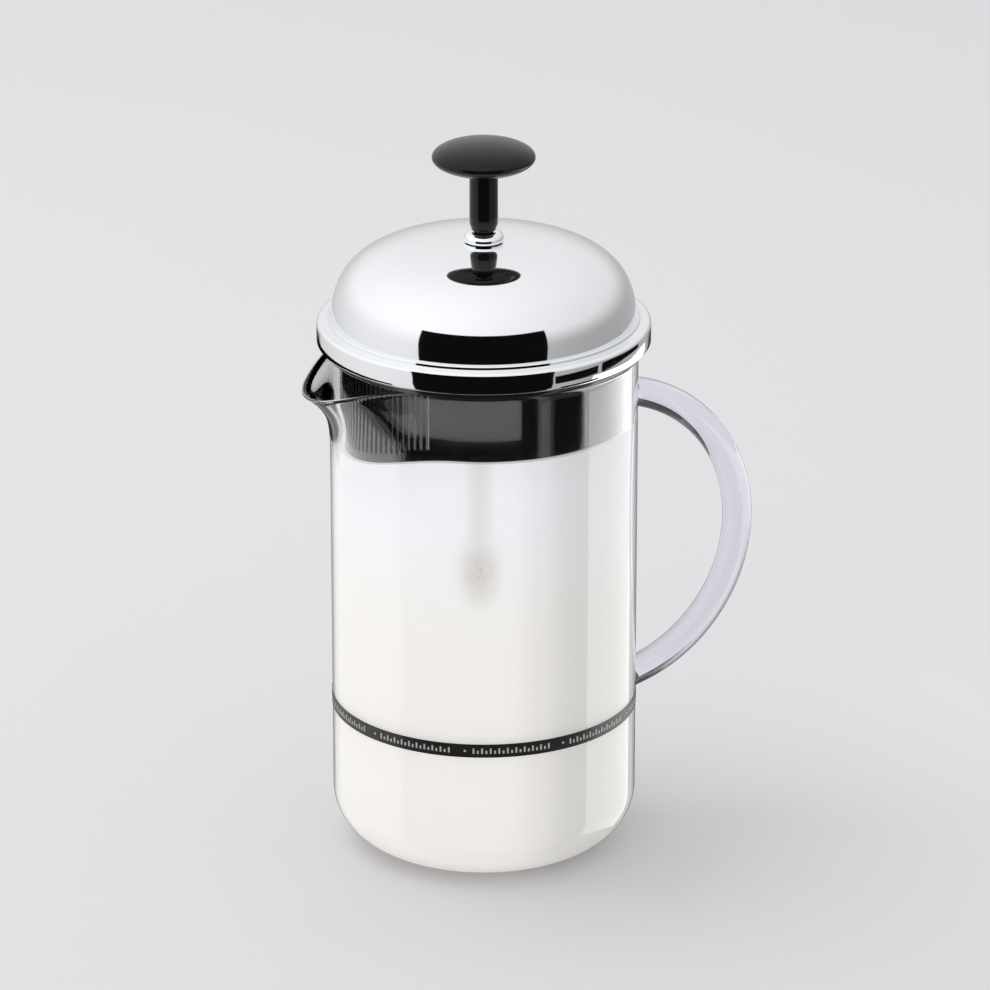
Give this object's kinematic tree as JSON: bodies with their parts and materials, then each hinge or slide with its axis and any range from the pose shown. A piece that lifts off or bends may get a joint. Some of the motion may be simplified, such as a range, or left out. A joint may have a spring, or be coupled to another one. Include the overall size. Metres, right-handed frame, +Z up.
{
  "type": "plunger milk frother",
  "caption": "Hand-worked plunger milk frother: clear glass jug with rod handle and spout, domed chrome lid with slotted strainer insert, black knob on a rod, and a wire mesh frothing head.",
  "frame": {"origin": "centre of the jug's flat base, on the surface it stands on", "axes": "+Z up along the plunger rod, +X towards the handle, -X towards the spout"},
  "size_m": [0.1163, 0.0778, 0.1727],
  "materials": {
    "clear_glass": "clear polished borosilicate glass",
    "band_enamel": "fired black enamel print with pale marks",
    "polished_chrome": "mirror-polished chrome plate",
    "smoky_plastic": "glossy black moulded plastic, slightly smoky",
    "black_plastic": "glossy black moulded plastic",
    "stainless_steel": "satin stainless steel",
    "wire_mesh": "woven stainless steel wire",
    "brass": "turned brass"
  },
  "bodies": {
    "jug": {"glass_jug": "clear_glass", "glass_handle": "clear_glass", "level_band": "band_enamel"},
    "guide": {"guide_bush": "polished_chrome", "guide_washer": "stainless_steel", "guide_nut": "stainless_steel"},
    "lid": {"lid_dome": "polished_chrome", "lid_insert": "smoky_plastic"},
    "sleeve": {"knob_sleeve": "black_plastic"},
    "plunger": {"knob": "black_plastic", "knob_insert": "brass", "plunger_rod": "stainless_steel", "head_hub": "stainless_steel", "cross_plate": "stainless_steel", "mesh_screen": "wire_mesh", "screen_rim": "stainless_steel", "edge_spring": "stainless_steel", "top_plate": "stainless_steel", "head_washer": "stainless_steel", "rod_locknut": "stainless_steel"}
  },
  "joints": [
    {"name": "lid_lift", "type": "slide", "parent": "jug", "child": "guide", "axis": [0, 0, 1], "range_m": [0, 0.13]},
    {"name": "lid_turn", "type": "hinge", "parent": "guide", "child": "lid", "pos_m": [0, 0, 0.124], "axis": [0, 0, 1], "continuous": true},
    {"name": "plunger_slide", "type": "slide", "parent": "guide", "child": "sleeve", "axis": [0, 0, 1], "range_m": [0, 0.08]},
    {"name": "plunger_turn", "type": "hinge", "parent": "sleeve", "child": "plunger", "pos_m": [0, 0, 0.152], "axis": [0, 0, 1], "continuous": true}
  ]
}
